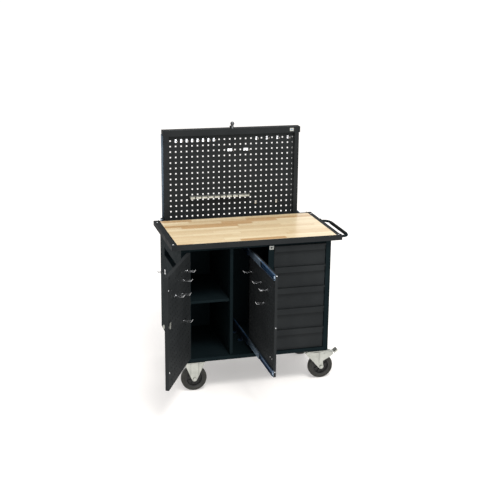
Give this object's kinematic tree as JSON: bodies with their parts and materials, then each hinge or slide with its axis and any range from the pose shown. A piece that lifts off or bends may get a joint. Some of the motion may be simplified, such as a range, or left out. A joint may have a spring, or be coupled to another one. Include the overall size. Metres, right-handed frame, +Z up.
{
  "type": "workbench",
  "caption": "Mobile steel workbench with wooden top, a bank of drawers, a hinged door, a pull-out tool panel and a perforated tool panel that slides down behind the top.",
  "frame": {"origin": "centre of the bounding box at floor level, in the pose with the door open, the pull-out panel out and the tool panel raised", "axes": "+X along the worktop towards the handle, +Y from the drawer fronts to the back, +Z up"},
  "size_m": [1.3417, 1.2194, 1.686],
  "materials": {
    "cabinet_paint": "fine textured anthracite powder coat",
    "front_paint": "fine textured dark grey powder coat",
    "board": "lacquered beech staves",
    "zinc": "bright zinc plate",
    "slide_steel": "blue-tinted zinc plate",
    "slide_blue": "deep blue passivated zinc",
    "dark_nickel": "dark polished nickel",
    "badge_enamel": "cream enamel name plate",
    "chrome": "polished",
    "wheel_centre": "moulded",
    "tyre": "matt rubber",
    "grip_rubber": "ribbed rubber"
  },
  "bodies": {
    "cabinet": {"side_left": "cabinet_paint", "side_right": "cabinet_paint", "base_pan": "cabinet_paint", "rear_cover": "cabinet_paint", "pocket_wall": "cabinet_paint", "grip_tray": "cabinet_paint", "drawer_wall": "cabinet_paint", "divider": "cabinet_paint", "shelf": "cabinet_paint", "top_plate": "cabinet_paint", "worktop_frame": "front_paint", "worktop_board": "board", "frame_screws": "chrome", "handle_tube": "cabinet_paint", "handle_grip": "grip_rubber", "hinge_leaves": "cabinet_paint", "pullout_rails": "slide_blue", "drawer_rails": "slide_steel", "panel_rails": "slide_steel", "fixed_forks": "zinc", "swivel_plates": "zinc", "caster_bolts": "zinc", "side_hook": "chrome"},
    "door": {"door_skin": "front_paint", "door_liner": "front_paint", "door_hooks": "chrome"},
    "door_lock": {"door_lock": "zinc"},
    "pullout": {"pullout_panel": "front_paint", "pullout_runners": "slide_blue", "pullout_hooks": "chrome"},
    "pullout_middle": {"pullout_middle": "slide_steel"},
    "tool_panel": {"panel_tray": "front_paint", "panel_sheet": "front_paint", "panel_runners": "slide_steel", "tool_hooks": "chrome", "driver_rack": "zinc"},
    "panel_middle": {"panel_middle": "slide_steel"},
    "panel_lock": {"panel_lock": "dark_nickel"},
    "drawer_1": {"drawer_front_1": "front_paint", "drawer_box_1": "front_paint"},
    "drawer_2": {"drawer_front_2": "front_paint", "drawer_box_2": "front_paint"},
    "drawer_3": {"drawer_front_3": "front_paint", "drawer_box_3": "front_paint"},
    "drawer_4": {"drawer_front_4": "front_paint", "drawer_box_4": "front_paint"},
    "drawer_5": {"drawer_front_5": "front_paint", "drawer_box_5": "front_paint"},
    "wheel_front_left": {"wheel_front_left": "wheel_centre", "tyre_front_left": "tyre"},
    "swivel_front": {"swivel_fork_front": "zinc"},
    "wheel_front_right": {"wheel_front_right": "wheel_centre", "tyre_front_right": "tyre"},
    "pedal_front": {"brake_pedal_front": "zinc"},
    "wheel_rear_left": {"wheel_rear_left": "wheel_centre", "tyre_rear_left": "tyre"},
    "swivel_rear": {"swivel_fork_rear": "zinc"},
    "wheel_rear_right": {"wheel_rear_right": "wheel_centre", "tyre_rear_right": "tyre"},
    "pedal_rear": {"brake_pedal_rear": "zinc"}
  },
  "joints": [
    {"name": "door_hinge", "type": "hinge", "parent": "cabinet", "child": "door", "pos_m": [-0.41287, -0.12647, 0.614], "axis": [0, 0, -1], "range_deg": [-116.5, 2.5]},
    {"name": "door_lock_turn", "type": "hinge", "parent": "door", "child": "door_lock", "pos_m": [-0.65385, -0.57843, 0.662], "axis": [0.8949, -0.4462, 0], "range_deg": [0, 90]},
    {"name": "pullout_slide", "type": "slide", "parent": "cabinet", "child": "pullout", "axis": [0, -1, 0], "range_m": [-0.472, 0.0102]},
    {"name": "pullout_middle_slide", "type": "slide", "parent": "cabinet", "child": "pullout_middle", "axis": [0, -1, 0], "range_m": [-0.236, 0.0052]},
    {"name": "tool_panel_slide", "type": "slide", "parent": "cabinet", "child": "tool_panel", "axis": [0, 0, 1], "range_m": [-0.572, 0]},
    {"name": "panel_middle_slide", "type": "slide", "parent": "cabinet", "child": "panel_middle", "axis": [0, 0, 1], "range_m": [-0.286, 0]},
    {"name": "panel_lock_turn", "type": "hinge", "parent": "tool_panel", "child": "panel_lock", "pos_m": [0.03813, 0.55753, 1.639], "axis": [0, 0, 1], "range_deg": [0, 90]},
    {"name": "drawer_1_slide", "type": "slide", "parent": "cabinet", "child": "drawer_1", "axis": [0, -1, 0], "range_m": [0, 0.42]},
    {"name": "drawer_2_slide", "type": "slide", "parent": "cabinet", "child": "drawer_2", "axis": [0, -1, 0], "range_m": [0, 0.42]},
    {"name": "drawer_3_slide", "type": "slide", "parent": "cabinet", "child": "drawer_3", "axis": [0, -1, 0], "range_m": [0, 0.42]},
    {"name": "drawer_4_slide", "type": "slide", "parent": "cabinet", "child": "drawer_4", "axis": [0, -1, 0], "range_m": [0, 0.42]},
    {"name": "drawer_5_slide", "type": "slide", "parent": "cabinet", "child": "drawer_5", "axis": [0, -1, 0], "range_m": [0, 0.42]},
    {"name": "wheel_front_left_spin", "type": "hinge", "parent": "cabinet", "child": "wheel_front_left", "pos_m": [-0.37287, -0.05147, 0.086], "axis": [0, 1, 0], "continuous": true},
    {"name": "swivel_front_turn", "type": "hinge", "parent": "cabinet", "child": "swivel_front", "pos_m": [0.47213, -0.05147, 0.201], "axis": [0, 0, 1], "continuous": true},
    {"name": "wheel_front_right_spin", "type": "hinge", "parent": "swivel_front", "child": "wheel_front_right", "pos_m": [0.51213, -0.05147, 0.086], "axis": [0, 1, 0], "continuous": true},
    {"name": "pedal_front_tilt", "type": "hinge", "parent": "swivel_front", "child": "pedal_front", "pos_m": [0.53413, -0.05147, 0.178], "axis": [0, -1, 0], "range_deg": [0, 5]},
    {"name": "wheel_rear_left_spin", "type": "hinge", "parent": "cabinet", "child": "wheel_rear_left", "pos_m": [-0.37287, 0.37853, 0.086], "axis": [0, 1, 0], "continuous": true},
    {"name": "swivel_rear_turn", "type": "hinge", "parent": "cabinet", "child": "swivel_rear", "pos_m": [0.47213, 0.37853, 0.201], "axis": [0, 0, 1], "continuous": true},
    {"name": "wheel_rear_right_spin", "type": "hinge", "parent": "swivel_rear", "child": "wheel_rear_right", "pos_m": [0.51213, 0.37853, 0.086], "axis": [0, 1, 0], "continuous": true},
    {"name": "pedal_rear_tilt", "type": "hinge", "parent": "swivel_rear", "child": "pedal_rear", "pos_m": [0.53413, 0.37853, 0.178], "axis": [0, -1, 0], "range_deg": [0, 5]}
  ],
  "couplings": [
    {"joint": "pullout_slide", "follows": "door_hinge", "m_per_rad": 0.23213},
    {"joint": "pullout_middle_slide", "follows": "door_hinge", "m_per_rad": 0.11607},
    {"joint": "panel_middle_slide", "follows": "tool_panel_slide", "ratio": 0.5}
  ]
}
